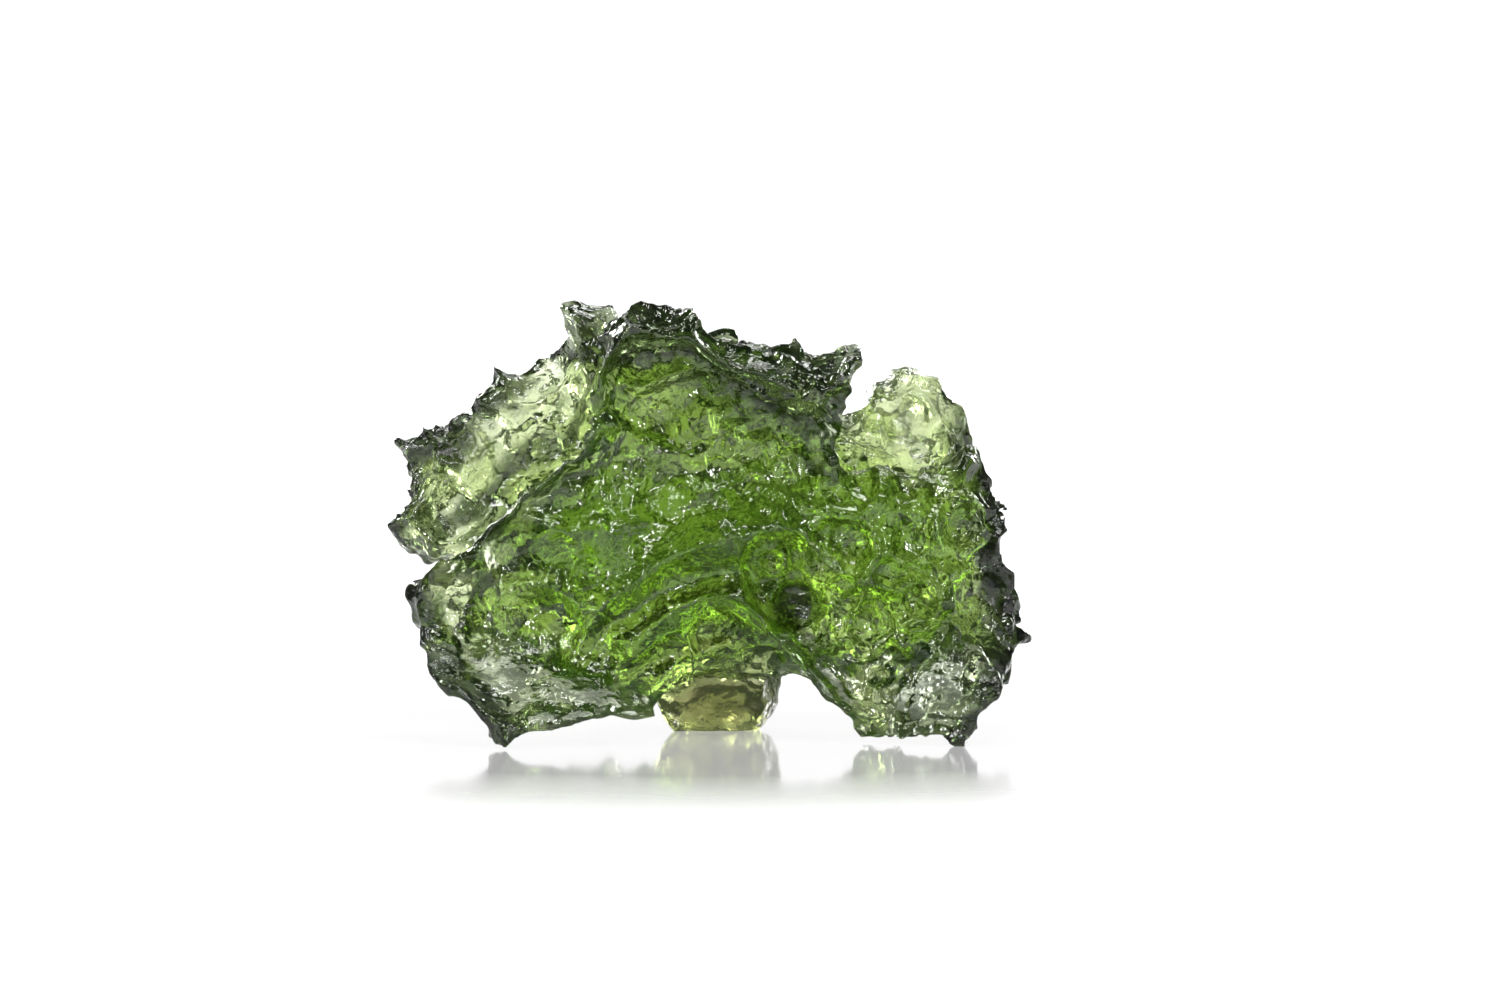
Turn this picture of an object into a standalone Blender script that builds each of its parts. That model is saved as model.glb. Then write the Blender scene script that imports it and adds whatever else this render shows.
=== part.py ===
"""A moldavite: one piece of natural green glass, etched by acid ground water into pits and thin lobes.

Metres, +Z up, -Y is the side that the photograph shows. The stone stands on three small spots at Z = 0:
the tips of its two front feet and the worn flat on the boss under its back. The origin is under the
middle of its box.
"""

import math

import bmesh
import bpy
import numpy as np
from mathutils import Vector
from mathutils.bvhtree import BVHTree

MM = 0.001

# Driving dimension: the width that the finished stone is scaled to, in millimetres
STONE_WIDTH = 22.2

# Grain of the sculpting mesh in millimetres, how often its points are evened out before and after
# the fringe is on, and the number of triangles kept in the end
CLAY_GRAIN = 0.2
BODY_SMOOTHING = 6
SKIN_SMOOTHING = 3
TRIANGLES_KEPT = 9500

# Each lobe is an outline seen from the front, in millimetres: X to the right, Z up from the ground,
# with X = 0 half way along the stone. "middle" is the depth Y of its middle, "thick" its thickness,
# "rim" how far in from the outline it reaches that thickness, and "turn" and "lean" how far Y grows
# for each mm of X and of Z.
BODY_LOBES = {
    "core": dict(
        outline=[
            (-7.1, 7.6), (-5.7, 8.9), (-4.9, 10.2), (-4.3, 12.8), (-2.3, 14.2), (-0.2, 14.0), (1.0, 13.0),
            (4.4, 12.4), (4.4, 10.6), (4.7, 9.6), (6.8, 9.6), (8.9, 9.4), (9.6, 8.0), (9.9, 6.0),
            (9.9, 3.3), (8.4, 1.9), (5.3, 1.3), (2.0, 1.8), (-1.5, 1.4), (-4.0, 1.4), (-6.0, 1.4),
            (-8.1, 2.6), (-9.3, 4.6), (-9.0, 6.0),
        ],
        middle=0.9, thick=6.0, rim=2.2, turn=0.0, lean=0.0,
    ),
    "front_sheet": dict(
        outline=[
            (-3.6, 13.1), (-4.5, 11.4), (-5.0, 10.0), (-6.2, 9.1), (-7.1, 8.2), (-7.9, 7.2), (-8.9, 6.4),
            (-10.0, 5.9), (-10.3, 5.0), (-10.0, 3.9), (-9.4, 3.0), (-7.4, 2.3), (-5.2, 1.5), (-3.0, 1.5),
            (-1.6, 3.0), (0.6, 4.6), (2.6, 3.6), (4.4, 1.6), (7.0, 2.0), (9.0, 2.4), (9.6, 4.5),
            (9.0, 7.6), (7.4, 8.9), (5.4, 8.6), (4.6, 9.6), (4.5, 11.6), (2.0, 12.4),
        ],
        middle=-2.2, thick=3.0, rim=0.8, turn=0.02, lean=0.0,
    ),
    "cap": dict(
        outline=[
            (-4.0, 13.6), (-3.8, 14.7), (-2.7, 15.3), (-1.0, 15.4), (0.3, 15.3), (0.6, 14.4), (1.4, 13.8),
            (2.3, 14.0), (3.4, 14.0), (4.6, 13.7), (5.6, 14.0), (5.7, 13.2), (5.2, 12.2), (4.8, 11.0),
            (3.2, 10.9), (1.5, 11.5), (0.3, 12.2), (-0.5, 13.0), (-2.3, 13.1), (-3.8, 12.9),
        ],
        middle=-2.6, thick=4.4, rim=0.8, turn=0.05, lean=0.5,
    ),
    "rear_left": dict(
        outline=[
            (-10.0, 5.6), (-10.7, 6.1), (-11.5, 7.1), (-10.8, 8.0), (-10.9, 8.9), (-11.0, 9.8),
            (-10.7, 10.6), (-10.0, 11.1), (-8.9, 11.4), (-8.3, 11.8), (-7.9, 12.5), (-7.7, 13.4),
            (-7.1, 12.8), (-6.5, 12.8), (-6.0, 13.1), (-5.3, 13.4), (-4.7, 14.0), (-3.3, 13.4),
            (-2.3, 10.8), (-2.9, 7.4), (-5.0, 5.4), (-7.7, 4.8),
        ],
        middle=3.1, thick=3.4, rim=1.0, turn=-0.15, lean=0.1,
    ),
    "horn": dict(
        outline=[
            (-5.2, 12.4), (-5.0, 13.9), (-5.4, 14.5), (-4.9, 15.4), (-4.1, 15.0), (-3.5, 15.5),
            (-2.6, 14.9), (-2.3, 13.0), (-3.6, 12.2),
        ],
        middle=1.4, thick=2.4, rim=0.6, turn=0.0, lean=0.0,
    ),
    "rear_right": dict(
        outline=[
            (4.4, 10.4), (5.2, 11.8), (5.8, 12.3), (6.6, 12.8), (7.2, 12.7), (7.9, 12.7), (8.4, 12.1),
            (8.8, 11.5), (9.5, 11.6), (9.3, 11.0), (9.7, 10.6), (9.9, 9.6), (9.8, 8.0), (8.6, 4.6),
            (4.6, 3.6), (3.0, 8.0),
        ],
        middle=4.1, thick=3.2, rim=1.2, turn=0.0, lean=0.12,
    ),
    "right_rim": dict(
        outline=[
            (9.3, 10.8), (9.8, 9.6), (10.5, 8.7), (11.2, 7.9), (11.0, 7.0), (10.9, 6.0), (11.0, 4.6),
            (11.4, 3.9), (11.3, 2.8), (10.8, 1.4), (9.8, 1.3), (8.7, 2.4), (8.0, 6.0), (8.2, 9.1),
        ],
        middle=0.8, thick=4.8, rim=0.9, turn=0.1, lean=0.0,
    ),
}

# Lobes of the fringe along the ground, put on once the body is hollowed
FRINGE_LOBES = {
    "left_blade": dict(
        outline=[
            (-10.0, 4.6), (-9.4, 4.2), (-8.0, 3.9), (-6.4, 3.4), (-4.7, 2.7), (-3.2, 2.2), (-1.8, 1.7),
            (-1.2, 0.7), (-2.2, 0.9), (-3.6, 0.8), (-4.8, 0.4), (-6.0, 0.3), (-6.9, -0.6), (-7.6, 0.5),
            (-8.3, 1.2), (-9.2, 1.9), (-9.8, 2.8),
        ],
        middle=-4.1, thick=2.0, rim=0.8, turn=0.12, lean=0.7,
    ),
    "skirt": dict(
        outline=[
            (-5.6, 3.2), (-2.0, 4.6), (-0.4, 4.0), (0.6, 2.6), (-0.8, 1.6), (-1.5, 0.4), (-2.6, 0.9),
            (-4.4, 0.8), (-5.6, 1.2),
        ],
        middle=-0.6, thick=3.4, rim=0.9, turn=0.0, lean=0.2,
    ),
    "right_blade": dict(
        outline=[
            (6.2, 1.0), (7.0, 2.6), (7.8, 3.4), (8.7, 3.9), (10.3, 3.6), (10.7, 2.2), (10.3, 1.5),
            (9.6, 1.0), (8.9, -0.5), (8.2, 0.1), (7.5, -0.1), (6.7, -0.1),
        ],
        middle=-3.6, thick=2.0, rim=0.8, turn=-0.1, lean=0.6,
    ),
    "right_foot": dict(
        outline=[
            (1.2, 4.6), (4.9, 4.6), (6.8, 3.0), (7.5, 1.2), (7.4, -0.1), (6.2, -0.7), (5.3, -0.4),
            (5.0, 0.4), (4.4, 1.1), (3.4, 2.2), (2.2, 3.4),
        ],
        middle=-2.2, thick=3.2, rim=0.7, turn=0.0, lean=0.1,
    ),
}

# Round masses: centre and half sizes, in millimetres
BODY_MASSES = {
    "back": dict(centre=(-0.6, 2.8, 7.6), half=(8.8, 3.4, 5.0)),
    "shoulder": dict(centre=(5.6, -0.6, 6.0), half=(4.6, 3.4, 4.0)),
    "crown": dict(centre=(-0.4, 1.4, 11.4), half=(4.6, 3.0, 2.9)),
    "heel": dict(centre=(-3.0, 1.4, 3.4), half=(5.2, 2.8, 2.4)),
}
FRINGE_MASSES = {
    "boss": dict(centre=(0.4, 2.8, 1.1), half=(2.6, 2.4, 1.8)),
}

# Hollows that acid has eaten by the mouthful, each an egg cut away from the body: centre, radius
# across, the long axis, and how many times longer than wide the egg is
HOLLOWS = {
    "upper_bowl": dict(centre=(-0.6, -7.1, 9.0), radius=4.4, along=(1.0, 0.0, 0.15), times=1.3),
    "left_bowl": dict(centre=(-5.6, -8.0, 5.0), radius=4.6, along=(0.3, 0.0, 1.0), times=1.2),
    "middle_trough": dict(centre=(-1.8, -5.3, 5.0), radius=2.5, along=(0.87, 0.0, 0.49), times=2.0),
    "arch": dict(centre=(1.8, -3.6, 1.7), radius=2.0, along=(0.70, 0.30, -0.65), times=1.8),
    "under": dict(centre=(3.9, 1.2, -0.6), radius=2.0, along=(0.0, 1.0, 0.0), times=3.0),
    "neck": dict(centre=(7.0, -2.8, 11.6), radius=1.8, along=(0.1, 1.0, 0.0), times=2.0),
    "left_gap": dict(centre=(-9.4, -2.4, 10.6), radius=3.4, along=(0.5, 1.0, 0.3), times=1.3),
    "back_left": dict(centre=(-5.6, 8.7, 8.8), radius=3.5, along=(1.0, 0.0, 0.6), times=1.4),
    "back_top": dict(centre=(0.8, 8.0, 12.4), radius=4.2, along=(1.0, 0.0, -0.2), times=1.2),
    "back_right": dict(centre=(5.2, 9.2, 7.4), radius=3.6, along=(0.3, 0.0, 1.0), times=1.4),
    "back_low": dict(centre=(-1.6, 9.6, 5.6), radius=3.9, along=(1.0, 0.0, 0.2), times=1.2),
    "back_foot": dict(centre=(-7.4, 7.4, 2.6), radius=3.4, along=(1.0, -0.4, 0.3), times=1.3),
    "right_side": dict(centre=(13.0, 2.6, 7.6), radius=3.0, along=(0.0, 1.0, 0.4), times=1.3),
    "top_saddle": dict(centre=(1.6, 2.4, 16.9), radius=3.1, along=(0.5, 1.0, 0.0), times=1.4),
    "top_left": dict(centre=(-7.6, 1.2, 15.2), radius=2.3, along=(0.2, 1.0, 0.0), times=1.6),
}

# Ridges drawn up out of the front: path as X, Z points in millimetres, height and half width. The
# higher the sharpness, the keener the crest, and nothing behind the plane Y = RIDGES_END is drawn.
RIDGE_SHARPNESS = 1.4
RIDGES_END = 0.5
RIDGES = {
    "left_edge": dict(path=[(-3.6, 13.0), (-4.6, 11.2), (-5.1, 10.0), (-6.3, 9.0), (-7.9, 7.1), (-9.7, 5.9)],
                      height=0.7, width=0.9),
    "long_diagonal": dict(path=[(-4.0, 4.4), (-2.2, 5.7), (-0.8, 6.6), (0.4, 7.0), (2.0, 8.0)],
                          height=0.8, width=1.3),
    "low_diagonal": dict(path=[(-2.6, 3.5), (-1.0, 4.7), (0.4, 5.0), (1.6, 4.2), (3.0, 2.8), (4.6, 1.6),
                               (5.4, 0.9)],
                         height=0.8, width=1.0),
    "middle_diagonal": dict(path=[(-3.2, 7.4), (-1.4, 8.2), (0.6, 9.2)], height=0.4, width=1.0),
    "right_shelf": dict(path=[(3.0, 2.8), (5.0, 3.2), (6.8, 3.0)], height=0.4, width=0.8),
}

# Round pits on the front, each at X, Z in millimetres: half width of its mouth, and its depth.
# They are dropped on to the skin from this far in front of it.
IN_FRONT = 20.0
FRONT_PITS = [
    dict(spot=(2.9, 5.1), mouth=1.4, depth=0.9),
    dict(spot=(4.8, 6.7), mouth=1.4, depth=0.5),
    dict(spot=(5.8, 4.2), mouth=1.2, depth=0.5),
    dict(spot=(7.4, 5.2), mouth=1.1, depth=0.45),
    dict(spot=(8.4, 3.6), mouth=1.0, depth=0.4),
    dict(spot=(8.6, 6.9), mouth=1.1, depth=0.4),
    dict(spot=(6.9, 7.4), mouth=0.9, depth=0.35),
    dict(spot=(3.2, 9.6), mouth=0.9, depth=0.4),
    dict(spot=(4.4, 2.4), mouth=0.8, depth=0.3),
    dict(spot=(6.6, 2.2), mouth=1.0, depth=0.35),
    dict(spot=(-4.6, 8.6), mouth=0.9, depth=0.35),
    dict(spot=(-6.3, 6.6), mouth=1.1, depth=0.4),
    dict(spot=(-5.6, 4.2), mouth=1.1, depth=0.4),
    dict(spot=(-7.9, 4.6), mouth=1.0, depth=0.5),
]

# Pits that cover the rest of the skin: least distance apart, half width of the mouth, depth for
# that width, how much longer than wide they may be, where on X the calm stretch of the front ends,
# in which none is made, and the seed they are drawn from. So many places are tried in each round.
PLACES_TRIED = 9000
PIT_ROUNDS = [
    dict(spacing=1.7, mouth=(0.9, 1.5), depth=0.30, longest=1.8, calm_until=9.0, seed=11),
    dict(spacing=1.1, mouth=(0.5, 0.8), depth=0.30, longest=1.5, calm_until=2.2, seed=23),
]
CALM_FROM = -3.6
CALM_HEIGHTS = (2.6, 9.6)

# A pit takes at most this share of the wall behind it, and a wall counts as no thicker than this
SHARE_OF_WALL = 0.3
THICKEST = 12.0

# One pit pushes no point further than its depth times this, and reaches no point further from
# its middle than its half width times this
DEEPEST_PUSH = 1.2
WIDEST_REACH = 1.5

# Side of the block that cuts the feet level
GROUND_BLOCK = 40.0


def clear_scene():
    for old in list(bpy.data.objects):
        bpy.data.objects.remove(old, do_unlink=True)


def pillow(name, outline, middle, thick, rim, turn, lean):
    """A lobe: its front outline filled, thickened along Y like a cushion, then sheared as it leans."""
    curve = bpy.data.curves.new(name, "CURVE")
    curve.dimensions = "2D"
    curve.fill_mode = "BOTH"
    curve.extrude = thick / 2 * MM
    spline = curve.splines.new("POLY")
    spline.points.add(len(outline) - 1)
    for point, (x, z) in zip(spline.points, outline):
        point.co = (x * MM, z * MM, 0.0, 1.0)
    spline.use_cyclic_u = True
    guide = bpy.data.objects.new(name, curve)
    bpy.context.scene.collection.objects.link(guide)
    guide.rotation_euler = (math.pi / 2, 0.0, 0.0)
    bpy.context.view_layer.update()
    block = evaluated_mesh(guide)
    block.transform(guide.matrix_world)
    bpy.data.objects.remove(guide, do_unlink=True)
    mesh = fused([block])
    points = points_of(mesh)
    corners = np.array(outline) * MM
    inwards = np.clip(path_distance(points[:, [0, 2]], corners, closed=True) / (rim * MM), 0.0, 1.0)
    middle_x, middle_z = corners.mean(axis=0)
    points[:, 1] *= np.sqrt(1.0 - (1.0 - inwards) ** 2)
    points[:, 1] += middle * MM + turn * (points[:, 0] - middle_x) + lean * (points[:, 2] - middle_z)
    place(mesh, points)
    return mesh


def path_distance(spots, corners, closed):
    """How far each spot is from the path through the corners."""
    ends = np.roll(corners, -1, axis=0) if closed else corners[1:]
    nearest = np.full(len(spots), np.inf)
    for start, end in zip(corners, ends):
        side = end - start
        share = np.clip((spots - start) @ side / (side @ side), 0.0, 1.0)
        nearest = np.minimum(nearest, np.linalg.norm(spots - start - share[:, None] * side, axis=1))
    return nearest


def ball_mesh():
    form = bmesh.new()
    bmesh.ops.create_icosphere(form, subdivisions=4, radius=1.0)
    mesh = bpy.data.meshes.new("ball")
    form.to_mesh(mesh)
    form.free()
    return mesh


def mass(centre, half):
    """A round mass: a ball stretched to its half sizes."""
    mesh = ball_mesh()
    place(mesh, (points_of(mesh) * np.array(half) + np.array(centre)) * MM)
    return mesh


def egg(centre, radius, along, times):
    """A ball of that radius made so many times longer along one axis."""
    mesh = ball_mesh()
    axis = np.array(along) / np.linalg.norm(along)
    points = points_of(mesh)
    points += np.outer(points @ axis * (times - 1.0), axis)
    place(mesh, (points * radius + np.array(centre)) * MM)
    return mesh


def evaluated_mesh(holder):
    """A mesh of the object as its modifiers leave it."""
    bpy.context.view_layer.update()
    return bpy.data.meshes.new_from_object(holder.evaluated_get(bpy.context.evaluated_depsgraph_get()))


def points_of(mesh):
    points = np.empty(len(mesh.vertices) * 3, np.float32)
    mesh.vertices.foreach_get("co", points)
    return points.reshape(-1, 3).astype(np.float64)


def normals_of(mesh):
    normals = np.empty(len(mesh.vertices) * 3, np.float32)
    mesh.vertex_normals.foreach_get("vector", normals)
    return normals.reshape(-1, 3).astype(np.float64)


def place(mesh, points):
    mesh.vertices.foreach_set("co", points.astype(np.float32).ravel())
    mesh.update()


def holder_of(name, mesh):
    holder = bpy.data.objects.new(name, mesh)
    bpy.context.scene.collection.objects.link(holder)
    return holder


def fused(meshes):
    """The shells made one closed skin of even quads by a voxel remesh."""
    form = bmesh.new()
    for mesh in meshes:
        form.from_mesh(mesh)
    bmesh.ops.remove_doubles(form, verts=form.verts, dist=0.001 * MM)
    shells = bpy.data.meshes.new("shells")
    form.to_mesh(shells)
    form.free()
    holder = holder_of("shells", shells)
    remesh = holder.modifiers.new("skin", "REMESH")
    remesh.mode = "VOXEL"
    remesh.voxel_size = CLAY_GRAIN * MM
    skin = evaluated_mesh(holder)
    bpy.data.objects.remove(holder, do_unlink=True)
    return skin


def hollowed(mesh):
    """The mesh less every hollow."""
    holder = holder_of("body", mesh)
    cutter = holder_of("hollows", fused([egg(**hollow) for hollow in HOLLOWS.values()]))
    bite = holder.modifiers.new("hollows", "BOOLEAN")
    bite.operation = "DIFFERENCE"
    bite.object = cutter
    carved = evaluated_mesh(holder)
    bpy.data.objects.remove(holder, do_unlink=True)
    bpy.data.objects.remove(cutter, do_unlink=True)
    return carved


def even_out(mesh, rounds):
    """Each point moved half way to the mean of its neighbours, again and again."""
    edges = np.empty(len(mesh.edges) * 2, np.int32)
    mesh.edges.foreach_get("vertices", edges)
    first, second = edges.reshape(-1, 2).T
    points = points_of(mesh)
    count = np.bincount(first, minlength=len(points)) + np.bincount(second, minlength=len(points))
    for _ in range(rounds):
        total = np.zeros_like(points)
        for axis in range(3):
            total[:, axis] = np.bincount(first, points[second, axis], len(points))
            total[:, axis] += np.bincount(second, points[first, axis], len(points))
        points += 0.5 * (total / count[:, None] - points)
    place(mesh, points)


def raise_ridges(mesh):
    """Skin that faces the front is drawn forward to a crest along each path, the more the nearer to it."""
    points, normals = points_of(mesh), normals_of(mesh)
    for ridge in RIDGES.values():
        away = path_distance(points[:, [0, 2]], np.array(ridge["path"]) * MM, closed=False)
        share = np.clip(1.0 - away / (ridge["width"] * MM), 0.0, 1.0) ** RIDGE_SHARPNESS
        front = np.clip(-normals[:, 1] * 2.0, 0.0, 1.0) * (points[:, 1] < RIDGES_END * MM)
        points[:, 1] -= ridge["height"] * MM * share * front
    place(mesh, points)


class Skin:
    """The skin while it is etched: its points, its normals, and how far inwards each point may still go."""

    def __init__(self, mesh):
        self.mesh = mesh
        self.points = points_of(mesh)
        self.normals = normals_of(mesh)
        corners = [vertex.co for vertex in mesh.vertices]
        self.tree = BVHTree.FromPolygons(corners, [tuple(face.vertices) for face in mesh.polygons])
        just_inside = self.points - self.normals * 0.01 * MM
        walls = [self.wall_behind(start, normal) for start, normal in zip(just_inside, self.normals)]
        self.room = np.array(walls) * SHARE_OF_WALL

    def wall_behind(self, start, normal):
        depth = self.tree.ray_cast(Vector(start), Vector(-normal))[3]
        return THICKEST * MM if depth is None else depth

    def press(self, spot, outward, mouth, depth, along, times):
        """A pit at the spot: skin in the egg that has this mouth and depth there goes out to its surface."""
        spot, outward = np.array(spot), np.array(outward)
        radius = (mouth ** 2 + depth ** 2) / (2.0 * depth)
        centre = spot + outward * (radius - depth)
        away = self.points - centre
        away -= np.outer(away @ along * (1.0 - 1.0 / times), along)
        distance = np.linalg.norm(away, axis=1)
        inside = (distance < radius) & (np.einsum("ij,ij->i", self.normals, away) < 0)
        inside &= np.linalg.norm(self.points - spot, axis=1) < WIDEST_REACH * mouth * times
        away = away[inside] * (radius / distance[inside])[:, None]
        move = centre + away + np.outer(away @ along * (times - 1.0), along) - self.points[inside]
        length = np.linalg.norm(move, axis=1) + 1e-12
        allowed = np.minimum(np.minimum(length, self.room[inside]), DEEPEST_PUSH * depth)
        self.points[inside] += move * (allowed / length)[:, None]
        self.room[inside] -= allowed

    def done(self):
        place(self.mesh, self.points)


def etch_front(mesh):
    """The pits that the front shows, each dropped on to the skin straight from the front."""
    skin = Skin(mesh)
    for pit in FRONT_PITS:
        x, z = pit["spot"]
        start = Vector((x * MM, -IN_FRONT * MM, z * MM))
        spot, outward, _, _ = skin.tree.ray_cast(start, Vector((0.0, 1.0, 0.0)))
        skin.press(spot, outward, pit["mouth"] * MM, pit["depth"] * MM, np.array((1.0, 0.0, 0.0)), 1.0)
    skin.done()


def etch(mesh, spacing, mouth, depth, longest, calm_until, seed):
    """Covers the skin, but for the calm of the front, with pits at random whose rims meet in ridges."""
    skin = Skin(mesh)
    draw = np.random.default_rng(seed)
    places = draw.uniform(skin.points.min(axis=0), skin.points.max(axis=0), (PLACES_TRIED, 3))
    leanings = draw.normal(size=(PLACES_TRIED, 3))
    halves = draw.uniform(*mouth, PLACES_TRIED) * MM
    lengths = draw.uniform(1.0, longest, PLACES_TRIED)
    kept = np.full((1, 3), np.inf)
    for place_tried, leaning, half, times in zip(places, leanings, halves, lengths):
        spot, outward, _, _ = skin.tree.find_nearest(Vector(place_tried))
        across, up = spot.x / MM, spot.z / MM
        calm = outward.y < -0.3 and CALM_FROM < across < calm_until and CALM_HEIGHTS[0] < up < CALM_HEIGHTS[1]
        if calm or np.linalg.norm(kept - spot, axis=1).min() < spacing * MM:
            continue
        kept = np.vstack([kept, spot])
        along = np.cross(outward, leaning)
        skin.press(spot, outward, half, half * depth, along / np.linalg.norm(along), times)
    skin.done()


def stone_glass():
    material = bpy.data.materials.new("bottle_green_glass")
    material.use_nodes = True
    shader = material.node_tree.nodes["Principled BSDF"]
    shader.inputs["Base Color"].default_value = (0.10, 0.22, 0.04, 1.0)
    shader.inputs["Roughness"].default_value = 0.12
    shader.inputs["Metallic"].default_value = 0.0
    shader.inputs["IOR"].default_value = 1.49
    return material


def ground_box():
    """A block whose top is the ground."""
    form = bmesh.new()
    bmesh.ops.create_cube(form, size=GROUND_BLOCK * MM)
    bmesh.ops.translate(form, verts=form.verts, vec=(0.0, 0.0, -GROUND_BLOCK / 2 * MM))
    mesh = bpy.data.meshes.new("ground")
    form.to_mesh(mesh)
    form.free()
    return mesh


def largest_piece(mesh):
    """The mesh without the crumbs that etching cut loose."""
    form = bmesh.new()
    form.from_mesh(mesh)
    unseen = set(form.verts)
    pieces = []
    while unseen:
        edge_of_search = [unseen.pop()]
        piece = list(edge_of_search)
        while edge_of_search:
            reached = {e.other_vert(v) for v in edge_of_search for e in v.link_edges} & unseen
            unseen -= reached
            edge_of_search = list(reached)
            piece += edge_of_search
        pieces.append(piece)
    pieces.sort(key=len)
    bmesh.ops.delete(form, geom=[vert for piece in pieces[:-1] for vert in piece], context="VERTS")
    form.to_mesh(mesh)
    form.free()
    return mesh


def faceted(skin):
    """The skin with fewer faces, and cut level where it stands."""
    holder = holder_of("stone", skin)
    ground = holder_of("ground", ground_box())
    thin = holder.modifiers.new("fewer_faces", "DECIMATE")
    thin.ratio = TRIANGLES_KEPT / (2 * len(skin.polygons))
    level = holder.modifiers.new("level_feet", "BOOLEAN")
    level.operation = "DIFFERENCE"
    level.object = ground
    mesh = evaluated_mesh(holder)
    bpy.data.objects.remove(holder, do_unlink=True)
    bpy.data.objects.remove(ground, do_unlink=True)
    return mesh


def to_size(mesh):
    """Scales the stone to its width, and moves it so that the origin is under the middle of its box."""
    points = points_of(mesh)
    low, high = points.min(axis=0), points.max(axis=0)
    points -= np.array(((low[0] + high[0]) / 2, (low[1] + high[1]) / 2, low[2]))
    place(mesh, points * (STONE_WIDTH * MM / (high[0] - low[0])))


def moldavite():
    body = fused([pillow(name, **lobe) for name, lobe in BODY_LOBES.items()]
                 + [mass(**ball) for ball in BODY_MASSES.values()])
    even_out(body, BODY_SMOOTHING)
    body = hollowed(body)
    skin = fused([body] + [pillow(name, **lobe) for name, lobe in FRINGE_LOBES.items()]
                 + [mass(**ball) for ball in FRINGE_MASSES.values()])
    even_out(skin, SKIN_SMOOTHING)
    raise_ridges(skin)
    etch_front(skin)
    for pits in PIT_ROUNDS:
        etch(skin, **pits)
    mesh = largest_piece(faceted(largest_piece(fused([skin]))))
    to_size(mesh)
    stone = bpy.data.objects.new("moldavite", mesh)
    stone.data.materials.append(stone_glass())
    home = bpy.data.collections.new("moldavite")
    bpy.context.scene.collection.children.link(home)
    home.objects.link(stone)


clear_scene()
moldavite()
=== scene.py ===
"""A raw moldavite: one thumbnail-sized piece of natural green glass, etched into ridges, bowls and thin
lobes. It stands on its lower edge on a white table, lit mostly from behind, with small lamps for glints."""

import math

import bmesh
import bpy
import numpy as np
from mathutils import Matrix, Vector


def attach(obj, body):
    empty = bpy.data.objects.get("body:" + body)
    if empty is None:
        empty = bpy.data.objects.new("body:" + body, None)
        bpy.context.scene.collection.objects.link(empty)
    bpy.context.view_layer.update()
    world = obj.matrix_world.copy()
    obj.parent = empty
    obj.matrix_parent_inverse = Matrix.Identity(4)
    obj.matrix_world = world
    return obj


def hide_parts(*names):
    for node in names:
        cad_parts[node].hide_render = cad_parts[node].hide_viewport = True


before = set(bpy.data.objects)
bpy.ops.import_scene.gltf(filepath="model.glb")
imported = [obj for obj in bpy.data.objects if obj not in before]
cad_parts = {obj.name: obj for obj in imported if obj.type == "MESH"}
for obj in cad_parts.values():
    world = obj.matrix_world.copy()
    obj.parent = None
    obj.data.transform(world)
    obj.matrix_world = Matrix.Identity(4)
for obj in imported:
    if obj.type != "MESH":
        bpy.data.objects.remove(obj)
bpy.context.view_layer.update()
scene = bpy.context.scene

# The moldavite.
# One splash of natural glass, which groundwater has etched over millions of years into bowls with sharp
# rims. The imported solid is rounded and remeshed, ever smaller bowls are cut into it, and it is coloured.

MM = 0.001
WELD = 0.001 * MM
ROUNDING_LEVELS = 2
BASE_GRAIN = 0.1 * MM
BROAD_ROUNDS = 40
SLIGHT_ROUNDS = 4
CRISPING = 1.2
CREASE_LIMIT = 0.16 * MM
CREST_LIMIT = 0.08 * MM


def welded_copy(node, name):
    """A new mesh with the node's faces, its loose triangles joined wherever their corners meet."""
    mesh = bpy.data.meshes.new(name)
    builder = bmesh.new()
    builder.from_mesh(node.data)
    bmesh.ops.remove_doubles(builder, verts=builder.verts, dist=WELD)
    builder.to_mesh(mesh)
    builder.free()
    return mesh


def remeshed(mesh, levels, grain):
    """The mesh rounded by subdivision and built anew from even square faces of about the grain's size."""
    holder = bpy.data.objects.new("rounding", mesh)
    scene.collection.objects.link(holder)
    if levels:
        rounding = holder.modifiers.new("rounding", "SUBSURF")
        rounding.levels = levels
        rounding.render_levels = levels
    even = holder.modifiers.new("even", "REMESH")
    even.mode = "VOXEL"
    even.voxel_size = grain
    even.adaptivity = 0
    bpy.context.view_layer.update()
    shaped = holder.evaluated_get(bpy.context.evaluated_depsgraph_get())
    result = bpy.data.meshes.new_from_object(shaped)
    bpy.data.objects.remove(holder)
    return result


def mesh_points(mesh):
    """The mesh's points as one array of rows."""
    flat = np.empty(len(mesh.vertices) * 3)
    mesh.vertices.foreach_get("co", flat)
    return flat.reshape(-1, 3)


def mesh_edges(mesh):
    """The mesh's edges as one array of pairs of point numbers."""
    flat = np.empty(len(mesh.edges) * 2, dtype=np.int32)
    mesh.edges.foreach_get("vertices", flat)
    return flat.reshape(-1, 2)


def mesh_normals(mesh, points):
    """The outward normals at the points, after the points are put back into the mesh."""
    mesh.vertices.foreach_set("co", points.ravel())
    mesh.update()
    flat = np.empty(len(mesh.vertices) * 3)
    mesh.vertex_normals.foreach_get("vector", flat)
    return flat.reshape(-1, 3)


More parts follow.
